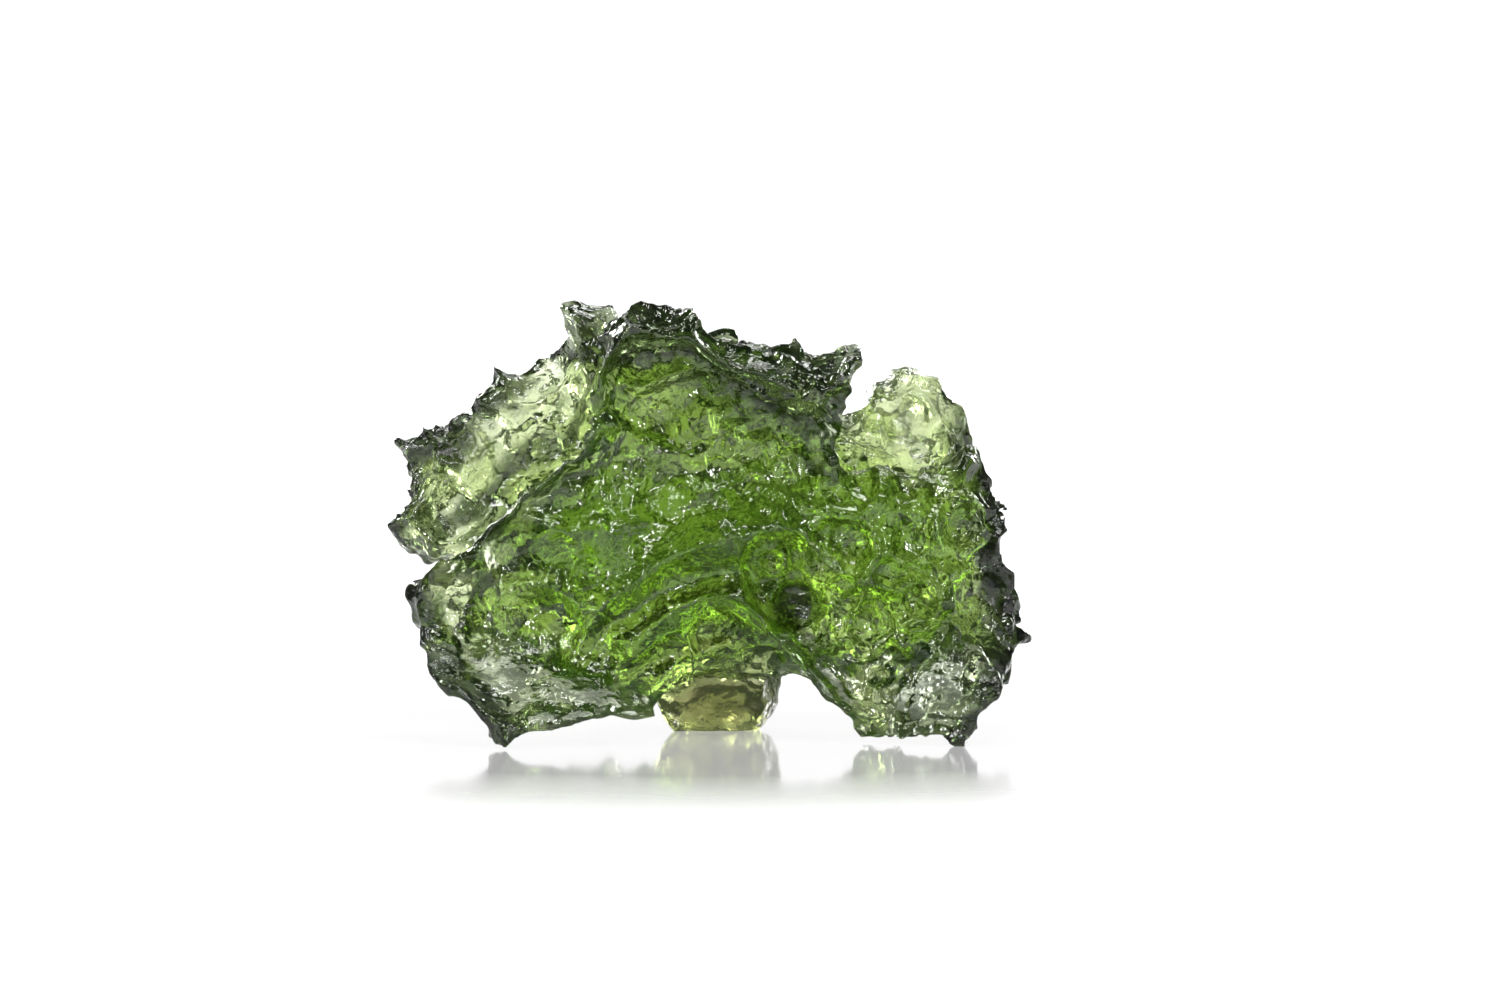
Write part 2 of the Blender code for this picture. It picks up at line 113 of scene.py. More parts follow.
def evened(values, edges, rounds):
    """Each point's value drawn halfway to the mean of its neighbours', once for each round."""
    count = len(values)
    first, second = edges.T
    neighbours = np.bincount(first, minlength=count) + np.bincount(second, minlength=count)
    neighbours = np.maximum(neighbours, 1)
    columns = values.reshape(count, -1).copy()
    for _ in range(rounds):
        for column in range(columns.shape[1]):
            one = columns[:, column]
            total = np.bincount(first, one[second], count) + np.bincount(second, one[first], count)
            columns[:, column] = (one + total / neighbours) / 2
    return columns.reshape(values.shape)


base_mesh = remeshed(welded_copy(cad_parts["moldavite"], "welded"), ROUNDING_LEVELS, BASE_GRAIN)
edges = mesh_edges(base_mesh)
points = mesh_points(base_mesh)
soft = evened(points, edges, BROAD_ROUNDS)
normals = mesh_normals(base_mesh, evened(points, edges, SLIGHT_ROUNDS))
lift = ((points - soft) * normals).sum(1)
points += normals * np.clip(lift * CRISPING, -CREASE_LIMIT, CREST_LIMIT)[:, None]

# The random fields that the bowls are made from.
# They are worked out from each point's place and a seed alone, so they are the same on every run.

CELL_MIXERS = (0x9E3779B97F4A7C15, 0xC2B2AE3D27D4EB4F, 0x165667B19E3779F9)
WORD_MIXER = 0xD6E8FEB86659FD93
WORD_SHIFTS = (32, 29, 32)
SEED_STEP = 1000003
TURN_STEP = 104729
TOP_BITS = 53
FAR_OFF = 9.0


def scattered(cells, seed):
    """Three even random numbers from 0 to 1 for each whole-numbered cell. The cell's three numbers are
    multiplied by large odd numbers and mixed by shifts, and the top bits of the result are read."""
    whole = cells.astype(np.int64).astype(np.uint64)
    a, b, c = (whole[..., axis] * np.uint64(mixer) for axis, mixer in enumerate(CELL_MIXERS))
    base = a ^ b ^ c
    result = []
    for turn in range(3):
        word = base ^ np.uint64(seed * SEED_STEP + turn * TURN_STEP + 1)
        for shift in WORD_SHIFTS:
            word = (word ^ (word >> np.uint64(shift))) * np.uint64(WORD_MIXER)
        result.append((word >> np.uint64(64 - TOP_BITS)).astype(np.float64) / 2.0**TOP_BITS)
    return np.stack(result, axis=-1)


def bowls(points, spacing, seed, stretch):
    """Two fields for bowls that meet in sharp rims. Space is cut into cells, and each cell holds one centre
    at a random place. The first field is the square of the distance to the nearest centre, in cells: 0 at
    the bottom of a bowl. The second is how much further the next centre is: 0 along the rims."""
    placed = points / (spacing * np.array(stretch))
    home = np.floor(placed)
    nearest = np.full(len(points), FAR_OFF)
    second = np.full(len(points), FAR_OFF)
    for dx in (-1, 0, 1):
        for dy in (-1, 0, 1):
            for dz in (-1, 0, 1):
                cell = home + (dx, dy, dz)
                away = placed - cell - scattered(cell, seed)
                square = (away * away).sum(1)
                second = np.minimum(second, np.maximum(square, nearest))
                nearest = np.minimum(nearest, square)
    return nearest, np.sqrt(second) - np.sqrt(nearest)


def swell(points, size, seed):
    """A smooth random field from 0 to 1: random numbers on a lattice's corners, blended between them."""
    placed = points / size
    home = np.floor(placed)
    part = placed - home
    part = part * part * (3 - 2 * part)
    total = np.zeros(len(points))
    for dx in (0, 1):
        for dy in (0, 1):
            for dz in (0, 1):
                share = np.ones(len(points))
                for axis, step in enumerate((dx, dy, dz)):
                    share *= part[:, axis] if step else 1 - part[:, axis]
                total += share * scattered(home + (dx, dy, dz), seed)[:, 0]
    return total


def warped(points, reach, size, seed):
    """The points pushed about by smooth random fields, so that a pattern read at them becomes irregular."""
    push = np.stack([swell(points, size, seed + axis) for axis in range(3)], axis=1)
    return points + reach * (2 * push - 1)


# How deep the bowls may go.
# The lobes are thin, so no point moves by more than a share of the thinnest wall close by.

SHARE_OF_WALL = 0.3
LEAST_ROOM = 0.005 * MM
PROBE_START = 0.02 * MM
PROBE_LENGTH = 30 * MM


def wall_behind(mesh, points):
    """How thick the glass is under each point: a ray is sent straight inwards until it leaves the glass."""
    mesh.vertices.foreach_set("co", points.ravel())
    mesh.update()
    holder = bpy.data.objects.new("probed", mesh)
    scene.collection.objects.link(holder)
    tree = bpy.data.node_groups.new("wall", "GeometryNodeTree")
    tree.interface.new_socket("Geometry", in_out="INPUT", socket_type="NodeSocketGeometry")
    tree.interface.new_socket("Geometry", in_out="OUTPUT", socket_type="NodeSocketGeometry")
    enter = tree.nodes.new("NodeGroupInput")
    leave = tree.nodes.new("NodeGroupOutput")
    position = tree.nodes.new("GeometryNodeInputPosition")
    normal = tree.nodes.new("GeometryNodeInputNormal")
    inward = tree.nodes.new("ShaderNodeVectorMath")
    inward.operation = "SCALE"
    inward.inputs["Scale"].default_value = -1
    start = tree.nodes.new("ShaderNodeVectorMath")
    start.operation = "MULTIPLY_ADD"
    start.inputs[1].default_value = (PROBE_START,) * 3
    ray = tree.nodes.new("GeometryNodeRaycast")
    ray.inputs["Ray Length"].default_value = PROBE_LENGTH
    keep = tree.nodes.new("GeometryNodeStoreNamedAttribute")
    keep.data_type = "FLOAT"
    keep.domain = "POINT"
    keep.inputs["Name"].default_value = "wall"
    wire = tree.links.new
    wire(normal.outputs[0], inward.inputs[0])
    wire(inward.outputs[0], start.inputs[0])
    wire(position.outputs[0], start.inputs[2])
    wire(enter.outputs[0], ray.inputs["Target Geometry"])
    wire(start.outputs[0], ray.inputs["Source Position"])
    wire(inward.outputs[0], ray.inputs["Ray Direction"])
    wire(enter.outputs[0], keep.inputs["Geometry"])
    wire(ray.outputs["Hit Distance"], keep.inputs["Value"])
    wire(keep.outputs[0], leave.inputs[0])
    holder.modifiers.new("wall", "NODES").node_group = tree
    bpy.context.view_layer.update()
    probed = holder.evaluated_get(bpy.context.evaluated_depsgraph_get())
    found = np.empty(len(mesh.vertices))
    probed.data.attributes["wall"].data.foreach_get("value", found)
    bpy.data.objects.remove(holder)
    bpy.data.node_groups.remove(tree)
    return found


def lowered(values, edges, rounds):
    """Each point's value brought down to the lowest of its neighbours', once for each round."""
    first, second = edges.T
    for _ in range(rounds):
        least = values.copy()
        np.minimum.at(least, first, values[second])
        np.minimum.at(least, second, values[first])
        values = least
    return values


def etched(mesh, points, edges, move):
    """The points moved along the smoothed normals by the given amounts: outwards where they are above 0 and
    inwards below. Each amount levels off at a share of the thinnest wall close by."""
    smooth = evened(points, edges, SLIGHT_ROUNDS)
    thinnest = lowered(wall_behind(mesh, smooth), edges, SLIGHT_ROUNDS)
    wall = evened(thinnest, edges, SLIGHT_ROUNDS)
    normals = mesh_normals(mesh, smooth)
    room = np.maximum(SHARE_OF_WALL * wall, LEAST_ROOM)
    return points + normals * (room * np.tanh(move / room))[:, None]


# Where things lie on the stone.
# The front is laid out in pixels of the photograph's frame, which the camera sees square on. The origin is
# the pixel of X = 0, Z = 0. A place is its centre across and down, its half width and its half height.

PHOTO_PX_PER_MM = 29.2
PHOTO_ORIGIN = (706, 735)
LEFT_LOBE = (480, 450, 75, 60)
RIGHT_LOBE = (915, 430, 60, 55)
BOWL_PLACES = {
    "right half": (900, 570, 110, 110),
    "upper basin": (800, 470, 70, 60),
    "right edge": (950, 600, 42, 90),
    "left shoulder": (500, 420, 90, 60),
}
RIM_PLACES = {
    "left end of the cap": (650, 335, 75, 45),
    "middle of the cap": (740, 370, 60, 35),
    "right end of the cap": (820, 370, 60, 45),
    "left rim": (420, 470, 45, 70),
    "right rim": (1000, 560, 30, 90),
    "right foot": (890, 710, 40, 30),
}
CALM_PLACES = {
    "left lobe": LEFT_LOBE,
    "right lobe": RIGHT_LOBE,
    "saddle": (640, 545, 100, 55),
    "left blade": (540, 690, 90, 40),
    "right blade": (955, 685, 45, 35),
}
BOSS_PLACE = (0.4 * MM, 2.8 * MM, 1.1 * MM)
BOSS_REACH = (2.4 * MM, 3.0 * MM, 1.5 * MM)


def around(points, px, py, half_width, half_height):
    """1 at a place in the photograph's frame and falling smoothly to 0 round it, the same at any depth."""
    x = (px - PHOTO_ORIGIN[0]) / PHOTO_PX_PER_MM * MM
    z = (PHOTO_ORIGIN[1] - py) / PHOTO_PX_PER_MM * MM
    away = ((points[:, 0] - x) * PHOTO_PX_PER_MM / MM / half_width) ** 2
    away += ((points[:, 2] - z) * PHOTO_PX_PER_MM / MM / half_height) ** 2
    return np.exp(-away)


def gathered(points, places):
    """The strongest of several places' weights at each point."""
    weight = np.zeros(len(points))
    for place in places:
        weight = np.maximum(weight, around(points, *place))
    return weight


def on_boss(points):
    """1 in the middle of the brown boss under the stone, falling smoothly to 0 round it."""
    return np.exp(-(((points - BOSS_PLACE) / BOSS_REACH) ** 2).sum(1))


# The etched bowls.
# Each size of bowls has a spacing, a depth and a seed, then four shares: how strongly it shows all over, in
# the large bowls of the face, on the rugged rims and on the back.

BROAD_BOWLS = (2.1 * MM, 0.75 * MM, 1, 0.15, 0.75, 0.3, 0.7)
MIDDLE_BOWLS = (1.15 * MM, 0.60 * MM, 2, 0.25, 0.9, 0.6, 0.5)
SMALL_BOWLS = (0.66 * MM, 0.40 * MM, 3, 0.18, 0.35, 1.2, 0)
FINE_PITS = (0.4 * MM, 0.22 * MM, 4, 0.22, 0.25, 0.7, 0)
STREAKS = (0.42 * MM, 0.34 * MM, 5)
STREAK_STRETCH = (1, 1, 2.6)
HIGHEST_SIDE = 0.8
UNMOVED_SIDE = 0.55
RIM_WIDTH = 0.16
RIM_HEIGHT = 0.1
WARP_REACH = 0.25
WARP_SIZE = 1.3
WARP_SEED = 50
FACING_ROUNDS = 20
FACING_LOW = -0.1
FACING_HIGH = 0.35
CALMING = 0.65
BOSS_CALMING = 0.9

# Hollows cut into the back where the glass glows: a place, then the depth asked for in millimetres.
THIN_PLACES = {
    "beside the saddle": (618, 450, 42, 42, 1.5),
    "left basin": (500, 575, 34, 50, 1.1),
    "over the left blade": (560, 640, 40, 26, 0.9),
    "over the arch": (800, 660, 60, 26, 0.9),
    "upper basin": (720, 470, 40, 30, 0.8),
    "right bowls": (880, 560, 34, 30, 0.9),
}
# Round rims like those of burst bubbles: the centre and the radius in pixels, the height in millimetres, and
# the rim's width as a share of its radius.
RINGS = {
    "bubble": (770, 553, 14, 0.30, 0.35),
    "beside the bubble": (839, 543, 36, 0.22, 0.14),
    "right, lower": (916, 598, 25, 0.25, 0.18),
    "middle, lower": (868, 608, 34, 0.20, 0.14),
    "round the pit": (795, 603, 30, 0.22, 0.18),
    "right, upper": (960, 520, 26, 0.18, 0.18),
    "under the cap": (850, 480, 30, 0.18, 0.18),
}
RING_FLOOR = 0.75
RING_CALMING = 0.7
RING_HOLLOW = 0.6
LEAST_WEIGHT = 1e-30


def step_up(values, low, high):
    """0 below low, 1 above high, and a smooth rise between."""
    t = np.clip((values - low) / (high - low), 0, 1)
    return t * t * (3 - 2 * t)


def pit_field(points, spacing, depth, seed, stretch=(1, 1, 1)):
    """How far each point moves for one size of bowls: inwards at their bottoms, not at all some way up their
    sides, and furthest outwards in a thin line along their rims."""
    rough = warped(points, WARP_REACH * spacing, WARP_SIZE * spacing, seed + WARP_SEED)
    hollow, gap = bowls(rough, spacing, seed, stretch)
    rim = RIM_HEIGHT * np.clip(1 - gap / RIM_WIDTH, 0, 1)
    return depth * (np.minimum(hollow, HIGHEST_SIDE) - UNMOVED_SIDE + rim)


def pitted(points, size, parts):
    """One size of bowls' field, times its share all over plus its share on each part of the stone."""
    spacing, depth, seed, weight, *shares = size
    for share, part in zip(shares, parts):
        weight = weight + share * part
    return pit_field(points, spacing, depth, seed) * weight


def slanted(points):
    """The points turned by 45 degrees about Y, with Y itself shortened by the square root of 2."""
    x, y, z = points.T
    return np.stack((x + z, y, z - x), axis=1) / math.sqrt(2)


facing_front = -evened(normals, edges, FACING_ROUNDS)[:, 1]
front = step_up(facing_front, FACING_LOW, FACING_HIGH)
back = 1 - front
rims = gathered(points, RIM_PLACES.values())
parts = (gathered(points, BOWL_PLACES.values()), rims, back)
calm = 1 - CALMING * gathered(points, CALM_PLACES.values()) * front
bare = 1 - BOSS_CALMING * on_boss(points)

move = pitted(points, BROAD_BOWLS, parts)
move += pitted(points, MIDDLE_BOWLS, parts)
for px, py, half_width, half_height, depth in THIN_PLACES.values():
    move -= depth * MM * around(points, px, py, half_width, half_height) * back
points = etched(base_mesh, points, edges, move * bare)

move = pitted(points, SMALL_BOWLS, parts) * calm
move += pitted(points, FINE_PITS, parts) * calm * front
move += pit_field(slanted(points), *STREAKS, stretch=STREAK_STRETCH) * rims * front
for px, py, radius, height, width in RINGS.values():
    out = np.sqrt(-np.log(np.maximum(around(points, px, py, radius, radius), LEAST_WEIGHT)))
    inside = np.exp(-((out / RING_FLOOR) ** 4)) * front
    move *= 1 - RING_CALMING * inside
    move += height * MM * (np.exp(-(((out - 1) / width) ** 2)) * front - RING_HOLLOW * inside)
points = etched(base_mesh, points, edges, move * bare)
mesh_normals(base_mesh, points)

# The final skin.
# The etched mesh is built anew from even faces, its loose specks go, and it is thinned to the triangles
# kept, most of them where the skin bends most.

SKIN_GRAIN = 0.085 * MM
TRIANGLES_KEPT = 196000


def keep_largest(mesh):
    """The mesh without its loose specks. Every point takes the lowest number among itself and its
    neighbours, over and over, until each separate part shares one number; the largest part is kept."""
    first, second = mesh_edges(mesh).T
    part = np.arange(len(mesh.vertices))
    while True:
        least = part.copy()
        np.minimum.at(least, first, part[second])
        np.minimum.at(least, second, part[first])
        least = least[least]
        if (least == part).all():
            break
        part = least
    wanted = np.bincount(part).argmax()
    builder = bmesh.new()
    builder.from_mesh(mesh)
    builder.verts.ensure_lookup_table()
    specks = [builder.verts[i] for i in np.flatnonzero(part != wanted)]
    bmesh.ops.delete(builder, geom=specks, context="VERTS")
    builder.to_mesh(mesh)
    builder.free()


glass_mesh = remeshed(base_mesh, 0, SKIN_GRAIN)
keep_largest(glass_mesh)
holder = bpy.data.objects.new("moldavite_glass", glass_mesh)
scene.collection.objects.link(holder)
holder.modifiers.new("triangles", "TRIANGULATE")
thin_out = holder.modifiers.new("thin out", "DECIMATE")
thin_out.ratio = TRIANGLES_KEPT / (2 * len(glass_mesh.polygons))
bpy.context.view_layer.update()
thinned = holder.evaluated_get(bpy.context.evaluated_depsgraph_get())
glass_mesh = bpy.data.meshes.new_from_object(thinned)
bpy.data.objects.remove(holder)
glass_mesh.name = "moldavite_glass"
keep_largest(glass_mesh)
glass_mesh.validate()
glass_mesh.polygons.foreach_set("use_smooth", np.ones(len(glass_mesh.polygons), dtype=bool))

# The dark rims and the frost.
# On the cap and the rims the glass looks nearly black, as the steep etched rims turn light away; here that
# darkness is painted shade, tinted into the glass along bands, and weaker bands paint shade on the arch's
# roof, the upper basin and the blades. Each band has its half width in pixels, its strength and its line
# over the front.

PAINTED_SHADE_BANDS = {
    "left rim, lower": (27, 1.0, ((392, 520), (405, 490), (405, 455), (425, 432))),
    "left rim, upper": (27, 1.0, ((425, 432), (458, 420), (482, 400), (494, 372))),
    "horn": (22, 0.8, ((570, 320), (600, 345))),
    "top of the cap": (34, 0.5, ((610, 318), (650, 318), (700, 325), (740, 362), (790, 365), (850, 362))),
    "lower edge of the cap": (26, 0.28, ((700, 350), (745, 392), (800, 400), (845, 395))),
    "ridge": (10, 0.55, ((575, 405), (560, 443), (525, 468), (475, 525), (415, 562))),
    "lower left edge": (24, 0.75, ((408, 590), (420, 640), (445, 678), (480, 702), (503, 728))),
    "right rim, upper": (26, 0.95, ((975, 430), (998, 470), (1020, 510), (1014, 560), (1018, 610))),
    "right rim, lower": (26, 0.95, ((1018, 610), (1024, 640), (1010, 685), (975, 715))),
    "pit": (18, 0.6, ((770, 588), (790, 600), (805, 603))),
    "edge of the arch": (9, 0.35, ((735, 585), (760, 625), (800, 665), (850, 695))),
    "left blade": (34, 0.22, ((450, 660), (500, 685), (585, 700))),
    "right blade": (36, 0.28, ((985, 650), (955, 690), (930, 705))),
    "roof of the arch": (40, 0.06, ((630, 655), (720, 655))),
    "upper basin": (50, 0.08, ((710, 430), (810, 450))),
}
BAND_CORE = 0.6
BAND_EDGE = 1.5
PAINTED_SHADE_DEPTH = (4.4, 4.0, 4.8)
CREST_PAINTED_SHADE = 0.15
CREASE_PAINTED_SHADE = 0.2
RELIEF_LOW = 0.05 * MM
CREST_HIGH = 0.16 * MM
CREASE_HIGH = 0.15 * MM
RELIEF_ROUNDS = 30
SKIN_ROUNDS = 12
LINE_ROUNDS = 2
DEEP_END = 4 * MM
FADE_BEHIND = 0.45
FADE_WITHIN = 5 * MM
NO_FADE_BEYOND = 8 * MM
# A wander is its reach, the size of its swells and its seed.
EDGE_WANDER = (0.5 * MM, 1.2 * MM, 90)
BACK_WANDER = (1.4 * MM, 2.2 * MM, 94)
PATCH_SIZE = 0.45 * MM
PATCH_SEED = 95
PATCHINESS = 0.35
PATCH_LOW = 0.3
PATCH_HIGH = 0.6
BOSS_TINT = (0.37, 0.18, 0.18)
FROST_FRONT = 0.1
FROST_BACK = 0.16
FROST_UNDER_PAINTED_SHADE = 0.2
FROST_REAR = 0.3
FROST_BOSS = 0.35
SHADE_WITHOUT_FROST = 0.2
SHADE_FOR_FULL_FROST = 0.8
BACK_FACING = 0.25
LOWEST = 0.002 * MM
NO_DISTANCE_YET = 1e9


def along(points, line):
    """How far each point is from a line drawn over the front of the stone, in pixels of the photograph's
    frame: for each stretch between two corners, the point is projected on it and kept within its ends."""
    across = points[:, 0] / MM * PHOTO_PX_PER_MM + PHOTO_ORIGIN[0]
    down = PHOTO_ORIGIN[1] - points[:, 2] / MM * PHOTO_PX_PER_MM
    nearest = np.full(len(points), NO_DISTANCE_YET)
    for (ax, ay), (bx, by) in zip(line, line[1:]):
        squared = (bx - ax) ** 2 + (by - ay) ** 2
        t = np.clip(((across - ax) * (bx - ax) + (down - ay) * (by - ay)) / squared, 0, 1)
        nearest = np.minimum(nearest, np.hypot(across - ax - t * (bx - ax), down - ay - t * (by - ay)))
    return nearest


points = mesh_points(glass_mesh)
points[:, 2] = np.maximum(points[:, 2], LOWEST)
edges = mesh_edges(glass_mesh)
normals = mesh_normals(glass_mesh, points)
broad = evened(normals, edges, SKIN_ROUNDS)
lift = ((points - evened(points, edges, RELIEF_ROUNDS)) * broad).sum(1)
crest = evened(step_up(lift, RELIEF_LOW, CREST_HIGH), edges, LINE_ROUNDS)
crease = evened(step_up(-lift, RELIEF_LOW, CREASE_HIGH), edges, LINE_ROUNDS)

# The bands of painted shade wander, more so towards the back, and fade there except at the stone's two ends.
deep = step_up(points[:, 1], 0, DEEP_END)
wobble = warped(points, *EDGE_WANDER)
wobble += (warped(points, *BACK_WANDER) - points) * deep[:, None]
painted_shade = np.zeros(len(points))
for half_width, strength, line in PAINTED_SHADE_BANDS.values():
    band = 1 - step_up(along(wobble, line), BAND_CORE * half_width, BAND_EDGE * half_width)
    painted_shade = np.maximum(painted_shade, strength * band)
# The painted shade is broken up into patches.
patches = step_up(swell(points, PATCH_SIZE, PATCH_SEED), PATCH_LOW, PATCH_HIGH)
patches = 1 - PATCHINESS + PATCHINESS * patches
fading = FADE_BEHIND * deep * (1 - step_up(np.abs(points[:, 0]), FADE_WITHIN, NO_FADE_BEYOND))
painted_shade *= patches * (1 - fading)
# Painted shade along the crests, and more painted shade in the creases.
painted_shade = np.maximum(painted_shade, CREST_PAINTED_SHADE * crest) + CREASE_PAINTED_SHADE * crease

boss = on_boss(points)
frost = FROST_FRONT + (FROST_BACK - FROST_FRONT) * step_up(broad[:, 1], -BACK_FACING, BACK_FACING)
frost = np.maximum(frost, FROST_UNDER_PAINTED_SHADE * step_up(painted_shade, SHADE_WITHOUT_FROST, SHADE_FOR_FULL_FROST))
frost = np.maximum(frost, FROST_REAR * gathered(points, (LEFT_LOBE, RIGHT_LOBE)))
frost = np.maximum(frost, FROST_BOSS * boss)
# The colour layer: the painted shade of the rims, crests and creases, times the boss's own brown.
painted_shade_and_brown = np.ones((len(points), 4), dtype=np.float32)
shade = np.exp(-painted_shade[:, None] * np.array(PAINTED_SHADE_DEPTH))
painted_shade_and_brown[:, :3] = shade * (1 + boss[:, None] * (np.array(BOSS_TINT) - 1))

frost_layer = glass_mesh.attributes.new("frost", "FLOAT", "POINT")
frost_layer.data.foreach_set("value", frost.astype(np.float32))
painted_shade_and_brown_layer = glass_mesh.color_attributes.new("painted_shade_and_brown", "FLOAT_COLOR", "POINT")
painted_shade_and_brown_layer.data.foreach_set("color", painted_shade_and_brown.ravel())
mesh_normals(glass_mesh, points)
stone = bpy.data.objects.new("moldavite_glass", glass_mesh)
scene.collection.objects.link(stone)

# The glass itself.
# A silica glass coloured by a little iron: nearly clear where a lobe is thin and bottle green through the
# body. It is glossy on the face, a little frosted on the rims, the lobes and the back, and finely faceted.

GLASS_IOR = 1.49
ABSORBED_COLOUR = (0.59, 0.71, 0.22, 1)
ABSORPTION_PER_M = 700
FACETS_PER_M = 2600
FACET_HEIGHT = 0.16 * MM
GRAINS_PER_M = 6500
GRAIN_HEIGHT = 0.045 * MM
STRONGER_SPOTS_PER_M = 900
SPOT_EDGES = (0.35, 0.65)
BUMP_STRENGTHS = (0.35, 1.0)


def ramp(nodes, start, end, low, high, smooth=False):
    """A Map Range node that goes from the low to the high value between the start and the end."""
    node = nodes.new("ShaderNodeMapRange")
    node.interpolation_type = "SMOOTHSTEP" if smooth else "LINEAR"
    node.inputs["From Min"].default_value = start
    node.inputs["From Max"].default_value = end
    node.inputs["To Min"].default_value = low
    node.inputs["To Max"].default_value = high
    return node


def kept_layer(name):
    """An Attribute node that reads one of the layers kept in the glass's mesh."""
    layer = glass_nodes.new("ShaderNodeAttribute")
    layer.attribute_name = name
    return layer


def noise(lumps_per_m, detail):
    """A Noise node on the glass's own coordinates."""
    texture = glass_nodes.new("ShaderNodeTexNoise")
    texture.inputs["Scale"].default_value = lumps_per_m
    texture.inputs["Detail"].default_value = detail
    glass_links.new(place.outputs["Object"], texture.inputs["Vector"])
    return texture


def bump(texture, height, strength):
    """A Bump node of the given height over the texture, as strong as the ramp says."""
    relief = glass_nodes.new("ShaderNodeBump")
    relief.inputs["Distance"].default_value = height
    glass_links.new(strength.outputs["Result"], relief.inputs["Strength"])
    glass_links.new(texture.outputs["Fac"], relief.inputs["Height"])
    return relief


glass = bpy.data.materials.new("bottle_green_glass")
glass.use_nodes = True
glass_nodes, glass_links = glass.node_tree.nodes, glass.node_tree.links
surface = glass_nodes["Principled BSDF"]
surface.inputs["IOR"].default_value = GLASS_IOR
surface.inputs["Transmission Weight"].default_value = 1
# The base colour carries the painted shade of the rims, crests and creases and the boss's own brown.
glass_links.new(kept_layer("painted_shade_and_brown").outputs["Color"], surface.inputs["Base Color"])
glass_links.new(kept_layer("frost").outputs["Fac"], surface.inputs["Roughness"])
place = glass_nodes.new("ShaderNodeTexCoord")
strength = ramp(glass_nodes, *SPOT_EDGES, *BUMP_STRENGTHS)
glass_links.new(noise(STRONGER_SPOTS_PER_M, detail=2).outputs["Fac"], strength.inputs["Value"])
facets = bump(noise(FACETS_PER_M, detail=1), FACET_HEIGHT, strength)
grain = bump(noise(GRAINS_PER_M, detail=2), GRAIN_HEIGHT, strength)
glass_links.new(facets.outputs["Normal"], grain.inputs["Normal"])
glass_links.new(grain.outputs["Normal"], surface.inputs["Normal"])
inside = glass_nodes.new("ShaderNodeVolumeAbsorption")
inside.inputs["Color"].default_value = ABSORBED_COLOUR
inside.inputs["Density"].default_value = ABSORPTION_PER_M
glass_links.new(inside.outputs["Volume"], glass_nodes["Material Output"].inputs["Volume"])
glass_mesh.materials.clear()
glass_mesh.materials.append(glass)

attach(stone, "root")
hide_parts("moldavite")

# The table.
# A white board. Round the stone it is polished and mirrors its feet, and further out it is matte and burns
# out to white. Its glow lights the stone from below; right under the stone the glow is painted dimmer, a
# painted shadow of the stone on the board.

TABLE_HALF = 3.0
BOARD_COLOUR = (0.16, 0.16, 0.16, 1)
WHITE = (1, 1, 1, 1)
POLISH_FADES = 16 * MM
POLISH_END = 36 * MM
POLISHED = 0.08
MATTE = 0.6
BURN_POLISHED = 0.3
BURN_MATTE = 1.0
SHADED_TO = 8 * MM
UNSHADED_FROM = 18 * MM
GLOW_IN_PAINTED_SHADOW = 0.3
GLOW_AROUND = 1.15

table_mesh = bpy.data.meshes.new("white_table")
corners = [(x * TABLE_HALF, y * TABLE_HALF, 0) for x, y in ((-1, -1), (1, -1), (1, 1), (-1, 1))]
table_mesh.from_pydata(corners, [], [(0, 1, 2, 3)])
table = bpy.data.objects.new("white_table", table_mesh)
scene.collection.objects.link(table)
board = bpy.data.materials.new("glossy_white_board")
board.use_nodes = True
board_nodes, board_links = board.node_tree.nodes, board.node_tree.links
board_surface = board_nodes["Principled BSDF"]
board_surface.inputs["Base Color"].default_value = BOARD_COLOUR
board_surface.inputs["Emission Color"].default_value = WHITE
where = board_nodes.new("ShaderNodeTexCoord")
span = board_nodes.new("ShaderNodeVectorMath")
span.operation = "LENGTH"
board_links.new(where.outputs["Object"], span.inputs[0])
polish = ramp(board_nodes, POLISH_FADES, POLISH_END, POLISHED, MATTE)
board_links.new(span.outputs["Value"], polish.inputs["Value"])
board_links.new(polish.outputs["Result"], board_surface.inputs["Roughness"])
# Dimmer glow right under the stone: a painted shadow.
glow = ramp(board_nodes, SHADED_TO, UNSHADED_FROM, GLOW_IN_PAINTED_SHADOW, GLOW_AROUND, smooth=True)
board_links.new(span.outputs["Value"], glow.inputs["Value"])
burn = ramp(board_nodes, POLISH_FADES, POLISH_END, BURN_POLISHED, BURN_MATTE)
board_links.new(span.outputs["Value"], burn.inputs["Value"])
glance = board_nodes.new("ShaderNodeLightPath")
choose = board_nodes.new("ShaderNodeMix")
board_links.new(glance.outputs["Is Camera Ray"], choose.inputs["Factor"])
board_links.new(glow.outputs["Result"], choose.inputs["A"])
board_links.new(burn.outputs["Result"], choose.inputs["B"])
board_links.new(choose.outputs["Result"], board_surface.inputs["Emission Strength"])
table_mesh.materials.append(board)

# The white sweep.
# A lit white background behind the stone, so that its thin parts glow and its edges draw dark. It fades out
# as the direction turns away from +Y, and the rest of the room is dim.

SWEEP_BRIGHT = 1.15
SWEEP_THROUGH_GLASS = 1.0
ROOM_DIM = 0.1
SWEEP_EDGE = 0.7
SWEEP_FULL = 0.985

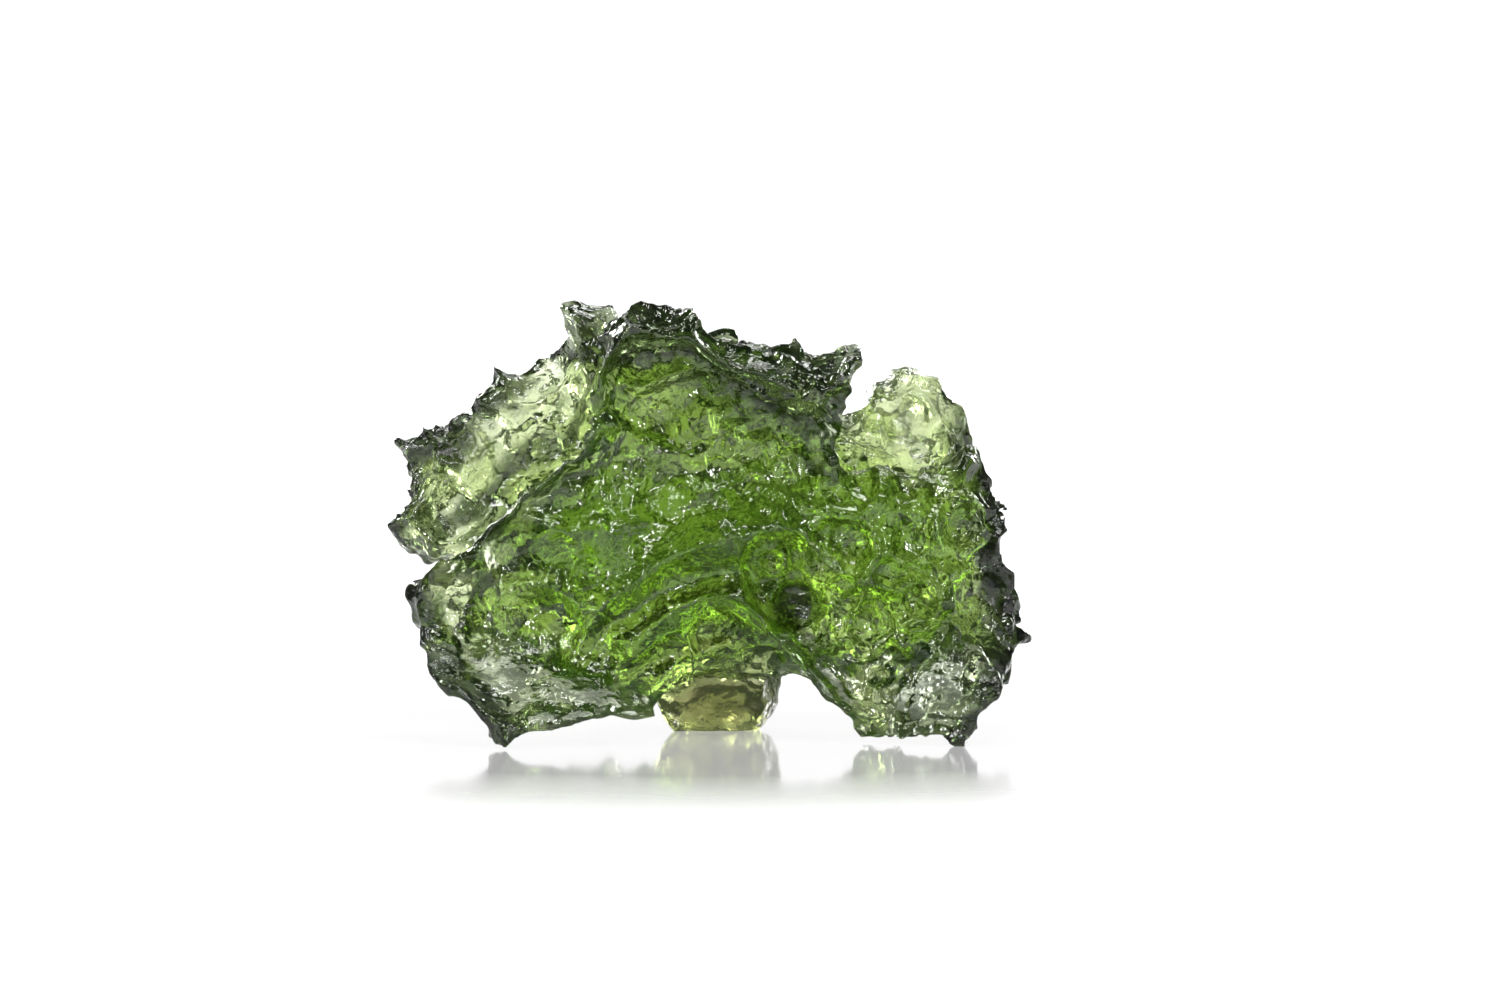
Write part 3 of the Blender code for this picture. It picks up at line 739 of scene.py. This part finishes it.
world = bpy.data.worlds.new("white_sweep")
scene.world = world
world.use_nodes = True
sweep_nodes, sweep_links = world.node_tree.nodes, world.node_tree.links
sky = sweep_nodes["Background"]
sky.inputs["Color"].default_value = WHITE
look = sweep_nodes.new("ShaderNodeTexCoord")
split = sweep_nodes.new("ShaderNodeSeparateXYZ")
sweep_links.new(look.outputs["Generated"], split.inputs["Vector"])
behind = ramp(sweep_nodes, SWEEP_EDGE, SWEEP_FULL, ROOM_DIM, SWEEP_THROUGH_GLASS, smooth=True)
sweep_links.new(split.outputs["Y"], behind.inputs["Value"])
seen = sweep_nodes.new("ShaderNodeLightPath")
choose = sweep_nodes.new("ShaderNodeMix")
choose.inputs["B"].default_value = SWEEP_BRIGHT
sweep_links.new(seen.outputs["Is Camera Ray"], choose.inputs["Factor"])
sweep_links.new(behind.outputs["Result"], choose.inputs["A"])
sweep_links.new(choose.outputs["Result"], sky.inputs["Strength"])

# The lamps.
# Small square lamps round the stone put the glints on its ridges. Each has an azimuth, which is 0 behind the
# stone and 90 to its right, an elevation, a width in degrees as the stone sees it, and a brightness.

LAMPS = {
    "back_right_lamp": (30, 15, 11, 38),
    "back_left_lamp": (-30, 24, 10, 42),
    "lamp_above": (15, 56, 20, 9),
    "left_lamp": (-110, 35, 12, 36),
    "front_right_lamp": (140, 30, 9, 70),
    "front_lamp": (180, 12, 6, 90),
    "front_top_lamp": (170, 58, 14, 20),
}
LAMP_DISTANCE = 0.3
LAMP_AIM = Vector((0, 0, 7 * MM))


def lamp(name, azimuth, elevation, width, brightness):
    """A square lamp aimed at the stone. Its energy is its brightness times pi times the area of its face."""
    a, e = math.radians(azimuth), math.radians(elevation)
    towards = Vector((math.sin(a) * math.cos(e), math.cos(a) * math.cos(e), math.sin(e)))
    size = 2 * LAMP_DISTANCE * math.tan(math.radians(width) / 2)
    data = bpy.data.lights.new(name, "AREA")
    data.size = size
    data.energy = brightness * math.pi * size * size
    light = bpy.data.objects.new(name, data)
    light.location = LAMP_AIM + towards * LAMP_DISTANCE
    light.rotation_mode = "QUATERNION"
    light.rotation_quaternion = towards.to_track_quat("Z", "Y")
    light.visible_camera = False
    scene.collection.objects.link(light)


for name, settings in LAMPS.items():
    lamp(name, *settings)

# The camera.
# A long lens, a few degrees above the table, square on to the broad etched face. The photograph's scale and
# the pixel of the origin give its distance and its place.

PHOTO_WIDTH = 1500
PHOTO_HEIGHT = 1000
CAMERA_ELEVATION = math.radians(3.5)
LENS = 250
SENSOR = 36

camera_data = bpy.data.cameras.new("camera")
camera_data.lens = LENS
camera_data.sensor_width = SENSOR
camera_data.clip_start = 0.01
camera_data.clip_end = 50
camera = bpy.data.objects.new("camera", camera_data)
scene.collection.objects.link(camera)
scene.camera = camera
towards_lens = Vector((0, -math.cos(CAMERA_ELEVATION), math.sin(CAMERA_ELEVATION)))
across = (PHOTO_WIDTH / 2 - PHOTO_ORIGIN[0]) / PHOTO_PX_PER_MM * MM
rise = (PHOTO_ORIGIN[1] - PHOTO_HEIGHT / 2) / PHOTO_PX_PER_MM * MM
camera.rotation_mode = "QUATERNION"
camera.rotation_quaternion = (-towards_lens).to_track_quat("-Z", "Y")
up = camera.rotation_quaternion @ Vector((0, 1, 0))
distance = PHOTO_WIDTH / PHOTO_PX_PER_MM * MM * LENS / SENSOR
camera.location = Vector((across, 0, 0)) + up * rise + towards_lens * distance

scene.view_settings.view_transform = "Standard"
